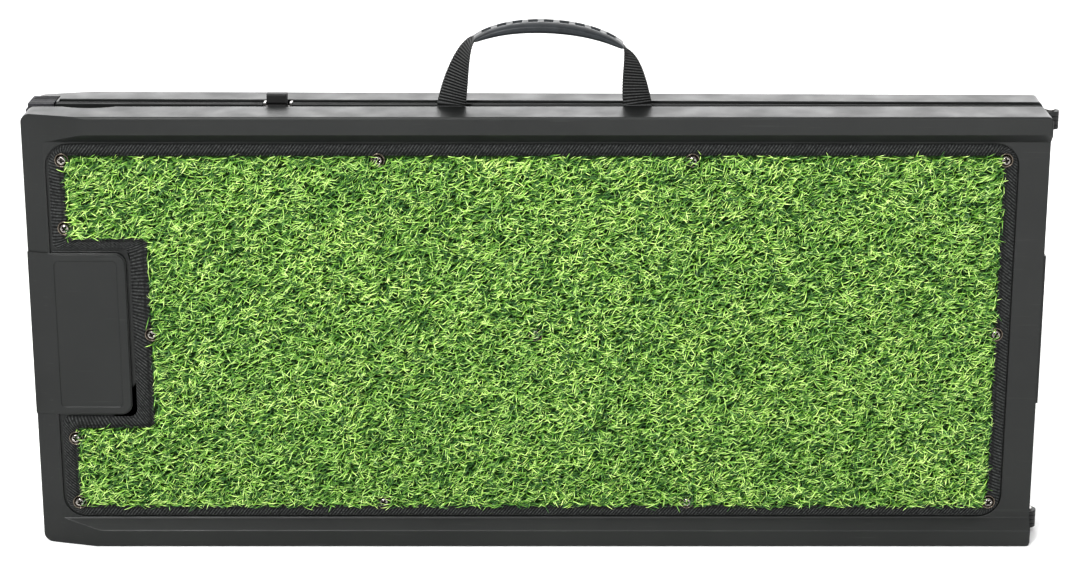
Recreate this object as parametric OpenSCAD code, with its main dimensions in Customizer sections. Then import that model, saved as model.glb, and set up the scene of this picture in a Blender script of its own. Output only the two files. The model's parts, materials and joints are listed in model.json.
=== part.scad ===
// Folding pet ramp, folded flat and standing on one long side.
// Two hinged halves with their grass decks outwards, a webbing carry handle on top
// and a thumb latch. Every half is described lying against its own walking face:
// x runs from the free end to the hinge end, y from the walking face to the
// underside, z up. Millimetres.

/* [Halves] */
// Length of one half, free end to hinge end
half_length = 910; // [900:1:920]
// Width of the ramp, which is the height of the folded part
half_width = 406; // [400:1:412]
// Thickness of one half, rail crest to underside
half_depth = 43.5; // [42.5:0.5:45]
// Clear gap between the undersides at the hinge
hinge_gap = 2.2; // [2:0.1:3]
// Angle that the rubber feet hold the halves apart
splay_angle = 0.9; // [0.85:0.05:1.1]

/* [Deck] */
// Width of the flat crest of a side rail
rail_crest = 16; // [14:1:18]
// Width of the rail's sloping inner face
rail_slope = 9; // [8:1:10]
// Height of the rails above the deck
rail_height = 10; // [9:0.5:11]
// Thickness of the deck plate under the mat
deck_plate = 3.5; // [3:0.5:5]
// Depth of the seat that the mat lies in
mat_seat = 2.5; // [2:0.5:3]
// Height of the grass pile above the mat's backing
pile_height = 9; // [7:0.5:10]

/* [Hinge] */
// Distance of the hinge axis beyond the end of the halves
axis_offset = 4; // [4:0.1:4.5]
// Radius of the hinge barrel
barrel_r = 8.3; // [7.8:0.1:8.4]
// Radius of the hinge pins
pin_r = 3; // [2.5:0.1:3.5]
// Height of one hinge
hinge_height = 16; // [16:0.5:18]
// Distance of each hinge from the long edge
hinge_inset = 4; // [4:0.5:6]

/* [Handle] */
// Width of the webbing
web_width = 25; // [22:1:26]
// Thickness of the webbing
web_thick = 1.6; // [1.4:0.1:1.8]
// Height of the grip's crown above the long side
crown_height = 72; // [68:1:76]
// Width of the grip, front to back
grip_width = 28; // [26:1:32]

/* [Latch] */
// Width of the thumb tab
tab_width = 18; // [16:1:20]
// Height of the thumb tab above the long side
tab_height = 9; // [8:0.5:10]

/* [Hidden] */
$fn = 48;
eps = 0.01;

hinge_end = half_length / 2;
free_end = -half_length / 2;
mid_z = half_width / 2;
axis_x = hinge_end + axis_offset;
axis_y = half_depth + hinge_gap / 2;

// The origin is the middle of the base of the whole folded part
taper_start = free_end + 55;
rear_reach = (axis_x - taper_start) * sin(splay_angle) + axis_y * cos(splay_angle);
origin_x = (free_end + axis_x + barrel_r) / 2;
origin_y = (rear_reach - axis_y) / 2;

// Mouldings
edge_r = 2;
wall = 4;
seat_floor = rail_height + mat_seat;
deck_back = seat_floor + deck_plate;
flange_thick = 15;
flange_front = half_depth - flange_thick;
end_slope = 13.4;
end_drop = 15;
taper_length = 48;

// Mat
mat_left = free_end + 23.5;
mat_right = hinge_end - 28;
mat_half_width = mid_z - 27;
turf_left = free_end + 36;
turf_right = hinge_end - 39;
turf_half_width = mid_z - 36;
notch_mat = [free_end + 92, 79];
notch_turf = [free_end + 107, 89];
plate_size = [88.5, 76.5];
binding_thick = 3.2;
mat_back = seat_floor - 0.1;
pile_top = mat_back - 0.4 - pile_height;

// Deck screws: four along each long edge, two beside the notch, three on the centre line
edge_rows = [free_end + 36, -139.5, 139, hinge_end - 39];
screw_spots = concat(
    [for (x = edge_rows, side = [-1, 1]) [x, side * 162]],
    [for (side = [-1, 1]) [free_end + 35.5, side * 99.5]],
    [for (x = [free_end + 109, 0, hinge_end - 40]) [x, 0]]
);
screw_shank_r = 2;
screw_hole_r = 2.05;
head_r = 4;
head_height = 3;
washer_r = 6;
washer_thick = 1.2;
screw_seat = mat_back - binding_thick;

// Underside panel
panel_box = [free_end + 27, hinge_end - 40, mid_z - 15];
panel_thick = 2.3;
panel_back = half_depth - 0.5;
panel_screws_x = [free_end + 42, -140, 140, hinge_end - 55];

// Side groove of the rear half
rim = 1.6;
groove_front = half_depth - 12.5;
groove_deep = 10;
groove_shallow = 3.5;

// Hinge
knuckle_gap = 0.4;
knuckle = (hinge_height - 3 * knuckle_gap) / 4;
relief_r = barrel_r + 0.7;
leaf_thick = 3;
leaf_length = 33;
leaf_tail = hinge_end - 38;
hinge_stations = [half_width - hinge_inset - hinge_height, hinge_inset];
leaf_screws_x = [hinge_end - 31, hinge_end - 15];

// Feet
foot_width = 23;
foot_length = 110;
foot_proud = 7.8;
foot_x = free_end + 0.2;
foot_ribs = 9;
rib_height = 1.2;
foot_wrap = 23;
wrap_thick = 2;
foot_screw_z = [30, 80];

// Handle: where each leg leaves the long side and where it enters the grip
leg_base = [-75, 91];
grip_tip = [[-54, 61], [77, 55]];
pivot_lift = 1.5;
tail_length = 20;
anchor_size = [34, 2, 13];
anchor_screw_x = 14.5;

// Latch
latch_x = -231.5;
latch_pin_r = 1.5;
latch_axis = [half_depth - 7, half_width - 5.5];
tab_front = half_depth + 5.5;
tab_back = half_depth - 4;

// Colours
moulded = "#3c3e3d";
steel = "#7d756c";
rubber = "#232425";
grass = "#58a536";
fabric = "#202224";

// ---- Placing ----

// The front half, its walking face towards -y
module on_front() {
    translate([-origin_x, -origin_y - axis_y, 0]) children();
}

// The rear half: the front half mirrored in the parting plane and swung open by the splay
module on_rear() {
    translate([axis_x - origin_x, -origin_y, 0])
        rotate([0, 0, -splay_angle])
        translate([-axis_x, 0, 0])
        mirror([0, 1, 0])
        translate([0, -axis_y, 0])
        children();
}

// Extrudes an x-z outline, drawn about the half's centre line, from depth y0 to y1
module through(y0, y1) {
    translate([0, y1, mid_z]) rotate([90, 0, 0]) linear_extrude(y1 - y0) children();
}

// Puts a piece whose axis is z at a spot of the deck, its +z towards the walking face
module at_spot(x, z, y) {
    translate([x, y, z]) rotate([90, 0, 0]) children();
}

// A point list with every corner [x, y, radius] rounded by an arc of n steps
function unit(v) = v / norm(v);
function fillet(a, b, c, r, n) =
    r == 0 ? [b] :
    let (
        u = unit(a - b),
        v = unit(c - b),
        half = acos(u * v) / 2,
        centre = b + unit(u + v) * r / sin(half),
        from = b + u * r / tan(half) - centre,
        to = b + v * r / tan(half) - centre,
        start = atan2(from.y, from.x),
        turn = (180 - 2 * half) * (cross(from, to) > 0 ? 1 : -1)
    )
    [for (i = [0:n]) centre + r * [cos(start + turn * i / n), sin(start + turn * i / n)]];
function xy(p) = [p[0], p[1]];
function rounded(pts, n = 6) = [
    for (i = [0:len(pts) - 1])
        each fillet(
            xy(pts[(i + len(pts) - 1) % len(pts)]), xy(pts[i]),
            xy(pts[(i + 1) % len(pts)]), pts[i][2], n
        )
];

// ---- Frame ----

// Outline of the half seen square to its walking face
module face_outline() {
    polygon(rounded([
        [free_end, -mid_z, 9], [hinge_end, -mid_z, 5],
        [hinge_end, mid_z, 5], [free_end, mid_z, 9]
    ]));
}

// Outline of the half seen from its long side: the walking face falls away at the free end
module side_outline() {
    polygon(rounded([
        [hinge_end, 0, edge_r], [taper_start, 0, 40],
        [taper_start - taper_length, end_slope, 0], [free_end, end_drop, edge_r],
        [free_end, half_depth, 3], [hinge_end, half_depth, 6]
    ]));
}

// Cross-section of the half: a rail along each long edge, the deck between them
module cross_outline() {
    inner = mid_z - rail_crest;
    foot = inner - rail_slope;
    polygon(rounded([
        [0, -mid_z, edge_r], [0, -inner, 1.5], [rail_height, -foot, 1.5],
        [rail_height, foot, 1.5], [0, inner, 1.5], [0, mid_z, edge_r],
        [half_depth, mid_z, edge_r], [half_depth, -mid_z, edge_r]
    ], 4));
}

// The whole moulding before anything is cut out of it
module half_block() {
    intersection() {
        through(0, half_depth) face_outline();
        linear_extrude(half_width) side_outline();
        translate([free_end, 0, mid_z])
            rotate([90, 0, 90])
            linear_extrude(half_length) cross_outline();
    }
}

// Raised plate at the free end, between the two arms of the mat
module plate_outline(inset = 0) {
    right = free_end + plate_size[0] - inset;
    top = plate_size[1] - inset;
    polygon(rounded([
        [free_end - 5, -top, 0], [right, -top, 10], [right, top, 10], [free_end - 5, top, 0]
    ]));
}

module raised_plate() {
    plate_top = rail_height - 2.5;
    intersection() {
        linear_extrude(half_width) polygon([
            [hinge_end, plate_top], [free_end + 24, plate_top], [free_end + 7, plate_top + 4],
            [free_end, end_drop - 2], [free_end, seat_floor + 3], [hinge_end, seat_floor + 3]
        ]);
        difference() {
            union() {
                through(plate_top + 1, seat_floor + 3) plate_outline();
                through(plate_top, plate_top + 2) plate_outline(1);
            }
            through(plate_top - 1, plate_top + 0.8) polygon(rounded([
                [free_end + 24, -69, 4], [free_end + 80, -69, 4],
                [free_end + 80, 69, 4], [free_end + 24, 69, 4]
            ]));
        }
    }
}

// Seat of the mat: a rounded rectangle with the plate standing in it
module seat_outline() {
    difference() {
        polygon(rounded([
            [free_end + 21, -mid_z + 26, 21], [hinge_end - 27, -mid_z + 26, 21],
            [hinge_end - 27, mid_z - 26, 21], [free_end + 21, mid_z - 26, 21]
        ]));
        plate_outline();
    }
}

// Room inside the moulding, with cross ribs left standing under the deck
module cavity() {
    rib = 3;
    bays = 6;
    bay = (half_length - 2 * wall) / bays;
    for (i = [0:bays - 1])
        translate([free_end + wall + i * bay + (i == 0 ? 4 : rib / 2), deck_back, wall])
            cube([
                bay - rib / 2 - (i == 0 || i == bays - 1 ? 4 : rib / 2),
                flange_front - deck_back, half_width - 2 * wall
            ]);
    through(flange_front - eps, half_depth + eps) panel_outline(-8);
}

module panel_outline(grow) {
    right = panel_box[1] + grow;
    left = panel_box[0] - grow;
    top = panel_box[2] + grow;
    r = 12 + grow;
    polygon(rounded([[left, -top, r], [right, -top, r], [right, top, r], [left, top, r]]));
}

// Room for the hinge barrels and for the leaves let into the underside
module hinge_reliefs() {
    for (z = hinge_stations) {
        translate([axis_x, axis_y, z - 0.5]) cylinder(r = relief_r, h = hinge_height + 1);
        translate([leaf_tail - 0.2, half_depth - leaf_thick - 0.2, z - 0.2])
            cube([hinge_end - leaf_tail + 1, leaf_thick + 1, hinge_height + 0.4]);
    }
}

// Bar on the end wall that meets its twin when the ramp lies open
module stop_bar() {
    bar_front = 20;
    translate([hinge_end - eps, bar_front, mid_z - 70])
        linear_extrude(140) polygon([
            [0, 0], [axis_offset - 0.1, 1.5], [axis_offset - 0.1, 21], [0, 21]
        ]);
}

module frame_moulding() {
    difference() {
        union() {
            difference() {
                half_block();
                through(-1, seat_floor) seat_outline();
            }
            intersection() {
                raised_plate();
                translate([free_end, 0, 0]) cube([half_length, half_depth, half_width]);
            }
            stop_bar();
        }
        cavity();
        through(panel_back - panel_thick - 0.1, half_depth + eps) panel_outline(0.4);
        hinge_reliefs();
        for (p = screw_spots)
            at_spot(p[0], mid_z + p[1], deck_back + 6) cylinder(r = screw_hole_r, h = deck_plate + 8);
        for (x = panel_screws_x, side = [-1, 1])
            at_spot(x, mid_z + side * (panel_box[2] - 4), half_depth) cylinder(r = 1.55, h = 11);
        for (z = hinge_stations, x = leaf_screws_x)
            at_spot(x, z + hinge_height / 2, half_depth) cylinder(r = 1.55, h = 11);
        for (z = foot_screw_z, side = [-1, 1])
            at_spot(foot_x + foot_width / 2, mid_z + side * (mid_z - 3 - z), half_depth + eps)
                cylinder(r = 1.55, h = 11);
    }
}

// Shallow hollow in the long side where fingers part the halves
module finger_scoop() {
    scoop_r = 50;
    scoop_depth = 8;
    translate([free_end + 57, half_depth - scoop_depth + scoop_r, half_width - 12])
        cylinder(r = scoop_r, h = 13, $fn = 96);
}

module front_frame() {
    color(moulded) on_front() difference() {
        frame_moulding();
        finger_scoop();
        for (x = leg_base, side = [-1, 1])
            at_spot(x + side * anchor_screw_x, half_width - 10, half_depth + eps)
                cylinder(r = 1.55, h = 11);
    }
}

// Groove along a long side of the rear half, behind its thin rim
module side_groove() {
    groove = half_depth - rim - groove_front;
    translate([free_end + 26, groove_front, half_width - groove_deep])
        cube([leaf_tail - 4 - free_end - 26, groove, groove_deep + 1]);
    translate([leaf_tail - 5, groove_front, half_width - groove_shallow])
        cube([hinge_end - leaf_tail + 6, groove, groove_shallow + 1]);
}

module rear_frame() {
    color(moulded) on_rear() difference() {
        frame_moulding();
        for (flip = [0, 1])
            translate([0, 0, flip * half_width]) mirror([0, 0, flip]) {
                side_groove();
                translate([free_end - 1, half_depth - foot_wrap - 0.2, half_width - wrap_thick - 0.2])
                    cube([foot_width + 2.2, foot_wrap + 1, wrap_thick + 1]);
            }
        translate([latch_x - tab_width / 2 - 4, groove_front - 0.3, half_width - 12.2])
            cube([tab_width + 8, half_depth, 13]);
    }
}

// ---- Underside panel ----

module under_panel() {
    difference() {
        union() {
            through(panel_back - panel_thick, panel_back) panel_outline(0);
            for (x = [-300, -100, 100, 300])
                translate([x - 20, panel_back - panel_thick - 6, mid_z - 150]) cube([40, 6 + eps, 300]);
        }
        for (x = [-300, -100, 100, 300])
            translate([x - 17, panel_back - panel_thick - 3.5, mid_z - 147]) cube([34, 8, 294]);
        for (x = panel_screws_x, side = [-1, 1])
            at_spot(x, mid_z + side * (panel_box[2] - 4), half_depth) cylinder(r = 1.7, h = 6);
    }
}

module front_under_panel() {
    color(moulded) on_front() under_panel();
}

module rear_under_panel() {
    color(moulded) on_rear() under_panel();
}

// ---- Mat ----

// Rounded rectangle with a notch for the raised plate
module notched(left, right, half, notch, r, notch_r) {
    polygon(rounded([
        [left, -half, r], [right, -half, r], [right, half, r], [left, half, r],
        [left, notch[1], notch_r], [notch[0], notch[1], notch_r],
        [notch[0], -notch[1], notch_r], [left, -notch[1], notch_r]
    ]));
}

module turf_outline() {
    notched(turf_left, turf_right, turf_half_width, notch_turf, 5, 4);
}

module turf_mat() {
    difference() {
        through(pile_top, mat_back) turf_outline();
        for (p = screw_spots) {
            at_spot(p[0], mid_z + p[1], screw_seat) cylinder(r = washer_r + 0.6, h = 20);
            at_spot(p[0], mid_z + p[1], mat_back + 1) cylinder(r = screw_hole_r + 0.1, h = 20);
        }
    }
}

module front_turf_mat() {
    color(grass) on_front() turf_mat();
}

module rear_turf_mat() {
    color(grass) on_rear() turf_mat();
}

module binding() {
    difference() {
        through(screw_seat, mat_back) difference() {
            notched(mat_left, mat_right, mat_half_width, notch_mat, 19, 7);
            offset_free_turf();
        }
        for (p = screw_spots)
            at_spot(p[0], mid_z + p[1], mat_back + 1) cylinder(r = screw_hole_r + 0.1, h = 20);
    }
}

// The turf's outline with a hair of room round it
module offset_free_turf() {
    room = 0.1;
    notched(
        turf_left - room, turf_right + room, turf_half_width + room,
        [notch_turf[0] - room, notch_turf[1] - room], 5, 4
    );
}

module front_binding() {
    color(fabric) on_front() binding();
}

module rear_binding() {
    color(fabric) on_rear() binding();
}

// ---- Deck fasteners ----

// Pan-head screw with a cross recess, standing on z = 0
module pan_screw(r, height, shank_r, shank) {
    difference() {
        union() {
            rotate_extrude() polygon(concat(
                [[0, 0], [r, 0]],
                [for (a = [0:15:90]) [r - 0.35 * r + 0.35 * r * cos(a), height * (0.45 + 0.55 * sin(a))]],
                [[0, height]]
            ));
            translate([0, 0, -shank]) cylinder(r = shank_r, h = shank + eps);
        }
        for (a = [45, 135])
            rotate([0, 0, a]) translate([-r * 0.55, -r * 0.13, height - 1.4]) cube([r * 1.1, r * 0.26, 2]);
    }
}

module deck_screws() {
    for (p = screw_spots)
        at_spot(p[0], mid_z + p[1], screw_seat - washer_thick)
            pan_screw(head_r, head_height, screw_shank_r, 13);
}

module deck_washers() {
    for (p = screw_spots)
        at_spot(p[0], mid_z + p[1], screw_seat) difference() {
            cylinder(r = washer_r, h = washer_thick);
            translate([0, 0, -1]) cylinder(r = screw_hole_r + 0.1, h = 4);
        }
}

module front_deck_screws() {
    color(steel) on_front() deck_screws();
}

module rear_deck_screws() {
    color(steel) on_rear() deck_screws();
}

module front_deck_washers() {
    color(steel) on_front() deck_washers();
}

module rear_deck_washers() {
    color(steel) on_rear() deck_washers();
}

// Small flat-top screw driven into the underside, its head on the panel or leaf
module underside_screw(x, z, y, length) {
    translate([x, y, z]) rotate([-90, 0, 0]) pan_screw(2.6, 1.6, 1.5, length);
}

module panel_screws() {
    for (x = panel_screws_x, side = [-1, 1])
        underside_screw(x, mid_z + side * (panel_box[2] - 4), panel_back, 9);
}

module front_panel_screws() {
    color(steel) on_front() panel_screws();
}

module rear_panel_screws() {
    color(steel) on_rear() panel_screws();
}

// ---- Feet ----

// Ribbed rubber foot on the underside at the free end; a wrapped foot also covers
// the corner of the long side
module foot(wrapped) {
    rib = foot_width / (2 * foot_ribs - 1);
    top = half_width - (wrapped ? 0 : 3);
    difference() {
        union() {
            translate([foot_x, half_depth + 0.05, half_width - 3 - foot_length])
                cube([foot_width, foot_proud - rib_height, top - (half_width - 3 - foot_length)]);
            for (i = [0:foot_ribs - 1])
                translate([foot_x + i * 2 * rib, half_depth + 2, half_width - 3 - foot_length])
                    cube([rib, foot_proud - 2, foot_length]);
            if (wrapped) translate([foot_x, half_depth - foot_wrap, half_width - wrap_thick])
                difference() {
                    cube([foot_width, foot_wrap + 1, wrap_thick]);
                    for (y = [4, 9])
                        translate([2, y, wrap_thick - 0.8]) cube([foot_width - 2 + eps, 1.6, 2]);
                }
        }
        for (z = foot_screw_z)
            translate([foot_x + foot_width / 2, half_depth, half_width - 3 - z]) rotate([-90, 0, 0]) {
                cylinder(r = 1.6, h = 20);
                translate([0, 0, 4]) cylinder(r = 3.2, h = 20);
            }
    }
}

module foot_at(wrapped, flip) {
    translate([0, 0, flip * half_width]) mirror([0, 0, flip]) foot(wrapped);
}

module front_foot_upper() {
    color(rubber) on_front() foot_at(false, 0);
}

module front_foot_lower() {
    color(rubber) on_front() foot_at(false, 1);
}

module rear_foot_upper() {
    color(rubber) on_rear() foot_at(true, 0);
}

module rear_foot_lower() {
    color(rubber) on_rear() foot_at(true, 1);
}

module foot_screws() {
    for (z = foot_screw_z, side = [-1, 1])
        underside_screw(foot_x + foot_width / 2, mid_z + side * (mid_z - 3 - z), half_depth + 4, 13);
}

module front_foot_screws() {
    color(steel) on_front() foot_screws();
}

module rear_foot_screws() {
    color(steel) on_rear() foot_screws();
}

// ---- Hinge ----

// Leaf with its two knuckles; first is the lower of its two places in the barrel
module hinge_leaf(z, first) {
    pitch = knuckle + knuckle_gap;
    difference() {
        union() {
            translate([leaf_tail, half_depth - leaf_thick, z])
                cube([leaf_length, leaf_thick, hinge_height]);
            for (i = [first, first + 2])
                translate([0, 0, z + i * pitch]) {
                    translate([axis_x, axis_y, 0]) cylinder(r = barrel_r, h = knuckle);
                    translate([leaf_tail + leaf_length - 1, half_depth - leaf_thick, 0])
                        cube([hinge_end - leaf_tail - leaf_length, leaf_thick, knuckle]);
                }
        }
        translate([axis_x, axis_y, z - 1]) cylinder(r = pin_r + 0.05, h = hinge_height + 2);
        for (i = [1 - first, 3 - first])
            translate([axis_x, axis_y, z + i * pitch - knuckle_gap])
                cylinder(r = relief_r - 0.2, h = knuckle + 2 * knuckle_gap);
        for (x = leaf_screws_x)
            at_spot(x, z + hinge_height / 2, half_depth + 1) {
                cylinder(r = 1.6, h = 6);
                cylinder(r = 2.9, h = 2.6);
            }
    }
}

module front_hinge_leaf_upper() {
    color(moulded) on_front() hinge_leaf(hinge_stations[0], 0);
}

module front_hinge_leaf_lower() {
    color(moulded) on_front() hinge_leaf(hinge_stations[1], 0);
}

module rear_hinge_leaf_upper() {
    color(moulded) on_rear() hinge_leaf(hinge_stations[0], 1);
}

module rear_hinge_leaf_lower() {
    color(moulded) on_rear() hinge_leaf(hinge_stations[1], 1);
}

module hinge_screws() {
    for (z = hinge_stations, x = leaf_screws_x)
        underside_screw(x, z + hinge_height / 2, half_depth - 1.6, 9);
}

module front_hinge_screws() {
    color(steel) on_front() hinge_screws();
}

module rear_hinge_screws() {
    color(steel) on_rear() hinge_screws();
}

// Headed pin through the four knuckles of one hinge
module hinge_pin(z) {
    translate([axis_x, axis_y, z]) {
        translate([0, 0, -0.4]) cylinder(r = pin_r, h = hinge_height + 0.8);
        translate([0, 0, hinge_height + 0.2]) cylinder(r = pin_r + 1.4, h = 1.2);
        translate([0, 0, -1.4]) cylinder(r = pin_r + 1.4, h = 1.2);
    }
}

module hinge_pin_upper() {
    color(steel) on_front() hinge_pin(hinge_stations[0]);
}

module hinge_pin_lower() {
    color(steel) on_front() hinge_pin(hinge_stations[1]);
}

// ---- Carry handle ----

// Webbing tails lie against the underside rim of the front half
module handle_tails() {
    color(fabric) on_front()
        for (x = leg_base)
            translate([x - web_width / 2, half_depth + 0.1, half_width - tail_length])
                cube([web_width, web_thick, tail_length]);
}

module handle_anchor_plates() {
    color(moulded) on_front()
        for (x = leg_base) difference() {
            union() {
                translate([x - anchor_size[0] / 2, half_depth + 0.1 + web_thick, half_width - 16.5])
                    cube(anchor_size);
                for (side = [-1, 1])
                    translate([x + side * anchor_screw_x, half_depth, half_width - 10])
                        rotate([-90, 0, 0]) cylinder(r = 2, h = web_thick + 0.2);
            }
            for (side = [-1, 1])
                translate([x + side * anchor_screw_x, half_depth - 1, half_width - 10])
                    rotate([-90, 0, 0]) cylinder(r = 1.6, h = 8);
        }
}

module handle_anchor_screws() {
    color(steel) on_front()
        for (x = leg_base, side = [-1, 1])
            underside_screw(
                x + side * anchor_screw_x, half_width - 10,
                half_depth + 0.1 + web_thick + anchor_size[1], 13
            );
}

// Polyhedron through rings of equal point count
module skin(rings) {
    n = len(rings[0]);
    last = len(rings) - 1;
    polyhedron(
        points = [for (ring = rings) each ring],
        faces = concat(
            [[for (i = [0:n - 1]) i]],
            [for (k = [0:last - 1], i = [0:n - 1])
                [k * n + i, (k + 1) * n + (i + 1) % n, k * n + (i + 1) % n]],
            [for (k = [0:last - 1], i = [0:n - 1])
                [k * n + i, (k + 1) * n + i, (k + 1) * n + (i + 1) % n]],
            [[for (i = [n - 1:-1:0]) last * n + i]]
        )
    );
}

// One leg: it folds on a line just above the long side and turns a quarter as it
// rises, so that it enters the grip lying flat
web_steps = 20;
web_cells = 4;
function leg_point(side, u) =
    let (
        base = [leg_base[side], pivot_lift],
        tip = grip_tip[side],
        inward = side == 0 ? 1 : -1,
        rise = base + [inward * 3.7, 19],
        enter = tip + [-inward * 11, -5.5],
        v = 1 - u
    )
    v * v * v * base + 3 * v * v * u * rise + 3 * v * u * u * enter + u * u * u * tip;
function leg_ring(side, u) =
    let (
        step = 0.02,
        p = leg_point(side, u),
        along = unit(leg_point(side, min(1, u + step)) - leg_point(side, max(0, u - step))),
        lean = min(1, 5 * u),
        across = unit(lean * [along.y, -along.x] + (1 - lean) * [1, 0]),
        turn = -90 * u,
        w = [across.x * cos(turn), sin(turn), across.y * cos(turn)] * web_width / 2,
        n = [-across.x * sin(turn), cos(turn), -across.y * sin(turn)] * web_thick / 2,
        c = [p.x, 0, p.y]
    )
    [for (face = [1, -1], i = [0:web_cells])
        let (v = 1 - 2 * i / web_cells)
        c + face * (w * v + n * (1.1 - 0.3 * v * v))];

module handle_webbing() {
    fold_r = web_thick / 2 + 0.1;
    color(fabric) on_front() translate([0, axis_y, half_width])
        for (side = [0, 1]) {
            skin([for (i = [0:web_steps]) leg_ring(side, i / web_steps)]);
            translate([leg_base[side] - web_width / 2, 0, pivot_lift])
                rotate([0, 90, 0]) cylinder(r = fold_r, h = web_width);
        }
}

// Grip: an arched bar of oval section, thickest at the crown
grip_steps = 22;
grip_sides = 20;
function grip_centre(u) =
    let (
        a = grip_tip[0],
        b = grip_tip[1],
        sag = crown_height - (a.y + b.y) / 2
    )
    a + u * (b - a) + [0, sag * 4 * u * (1 - u) * (1 + 0.25 * pow(2 * u - 1, 2))];
function grip_ring(u) =
    let (
        step = 0.01,
        c = grip_centre(u),
        along = unit(grip_centre(min(1, u + step)) - grip_centre(max(0, u - step))),
        up = [-along.y, along.x],
        swell = sqrt(max(0, 4 * u * (1 - u))),
        tall = 1.8 + 3.2 * swell,
        wide = grip_width / 2 - 1.5 + 1.5 * swell
    )
    [for (i = [0:grip_sides - 1])
        let (
            a = 360 * i / grip_sides,
            y = wide * sign(cos(a)) * pow(abs(cos(a)), 0.7),
            h = tall * sign(sin(a)) * pow(abs(sin(a)), 0.7)
        )
        [c.x + up.x * h, y, c.y + up.y * h]];

module handle_grip() {
    color(rubber) on_front() translate([0, axis_y, half_width])
        skin([for (i = [0:grip_steps]) grip_ring(i / grip_steps)]);
}

// ---- Thumb latch ----

// Steel channel in the rear half's groove: floor, two ears and a front flange
module latch_bracket() {
    wide = tab_width + 7.6;
    floor_z = half_width - 12;
    color(steel) on_rear() difference() {
        union() {
            translate([latch_x - wide / 2, groove_front, floor_z])
                cube([wide, half_depth + 3 - groove_front, 1.4]);
            for (side = [-1, 1])
                translate([latch_x + side * (wide / 2 - 1) - 1, groove_front, floor_z])
                    cube([2, half_depth - 1 - groove_front, 11.4]);
        }
        translate([latch_x - wide, latch_axis[0], latch_axis[1]])
            rotate([0, 90, 0]) cylinder(r = latch_pin_r + 0.02, h = 2 * wide);
    }
}

module latch_pin() {
    wide = tab_width + 7.6;
    color(steel) on_rear() translate([latch_x - wide / 2, latch_axis[0], latch_axis[1]])
        rotate([0, 90, 0]) cylinder(r = latch_pin_r, h = wide);
}

// Torsion spring: touching coils round the pin and one leg against the tab
module latch_spring() {
    wire = 0.8;
    coils = 5;
    bore = latch_pin_r + 0.3;
    color(steel) on_rear()
        translate([latch_x - coils * wire / 2, latch_axis[0], latch_axis[1]]) rotate([0, 90, 0]) {
            rotate_extrude() polygon(concat(
                [[bore, 0]],
                [for (i = [0:coils - 1], a = [-75:30:75])
                    [bore + wire / 2 * (1 + cos(a)), wire * (i + 0.5 + 0.5 * sin(a))]],
                [[bore, coils * wire]]
            ));
            translate([0, -bore - wire / 2, (coils - 0.5) * wire])
                rotate([0, 90, 0]) cylinder(d = wire * 0.9, h = 4.4);
        }
}

// Thumb tab, its lever and the hub that turns on the pin
module latch_tab() {
    hub_r = 3.4;
    slot = 5.4;
    wide = tab_width - 0.6;
    color(rubber) on_rear() translate([latch_x, 0, 0]) difference() {
        union() {
            translate([-wide / 2, latch_axis[0], latch_axis[1]])
                rotate([0, 90, 0]) cylinder(r = hub_r, h = wide);
            translate([-wide / 2, latch_axis[0], latch_axis[1] - hub_r])
                cube([wide, tab_front - latch_axis[0] - 1, 2 * hub_r - 0.4]);
            translate([-tab_width / 2, 0, 0]) rotate([90, 0, 90]) linear_extrude(tab_width)
                polygon(rounded([
                    [tab_back, half_width + 0.6, 0], [tab_front, half_width + 0.6, 0.5],
                    [tab_front, half_width + tab_height, 1.2], [tab_back, half_width + tab_height, 1.2]
                ]));
            translate([-wide / 2, tab_back + 1, half_width - 4]) cube([wide, 6.5, 8]);
        }
        translate([-wide, latch_axis[0], latch_axis[1]])
            rotate([0, 90, 0]) cylinder(r = latch_pin_r + 0.05, h = 2 * wide);
        translate([-slot / 2, latch_axis[0] - 5, latch_axis[1] - 5]) cube([slot, 8.4, 8.6]);
    }
}

front_frame();
front_under_panel();
front_turf_mat();
front_binding();
front_deck_screws();
front_deck_washers();
front_panel_screws();
front_foot_upper();
front_foot_lower();
front_foot_screws();
front_hinge_leaf_upper();
front_hinge_leaf_lower();
front_hinge_screws();
rear_frame();
rear_under_panel();
rear_turf_mat();
rear_binding();
rear_deck_screws();
rear_deck_washers();
rear_panel_screws();
rear_foot_upper();
rear_foot_lower();
rear_foot_screws();
rear_hinge_leaf_upper();
rear_hinge_leaf_lower();
rear_hinge_screws();
hinge_pin_upper();
hinge_pin_lower();
handle_tails();
handle_anchor_plates();
handle_anchor_screws();
handle_webbing();
handle_grip();
latch_bracket();
latch_pin();
latch_spring();
latch_tab();
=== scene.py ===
"""Looks of the folding pet ramp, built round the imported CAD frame.

Local millimetres of one half, as in the CAD source: x from the free end (-455) to the
hinge end (455), y from the walking face's crest (0) to the underside, z up (0 to 406).
"""
import json
import math

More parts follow.
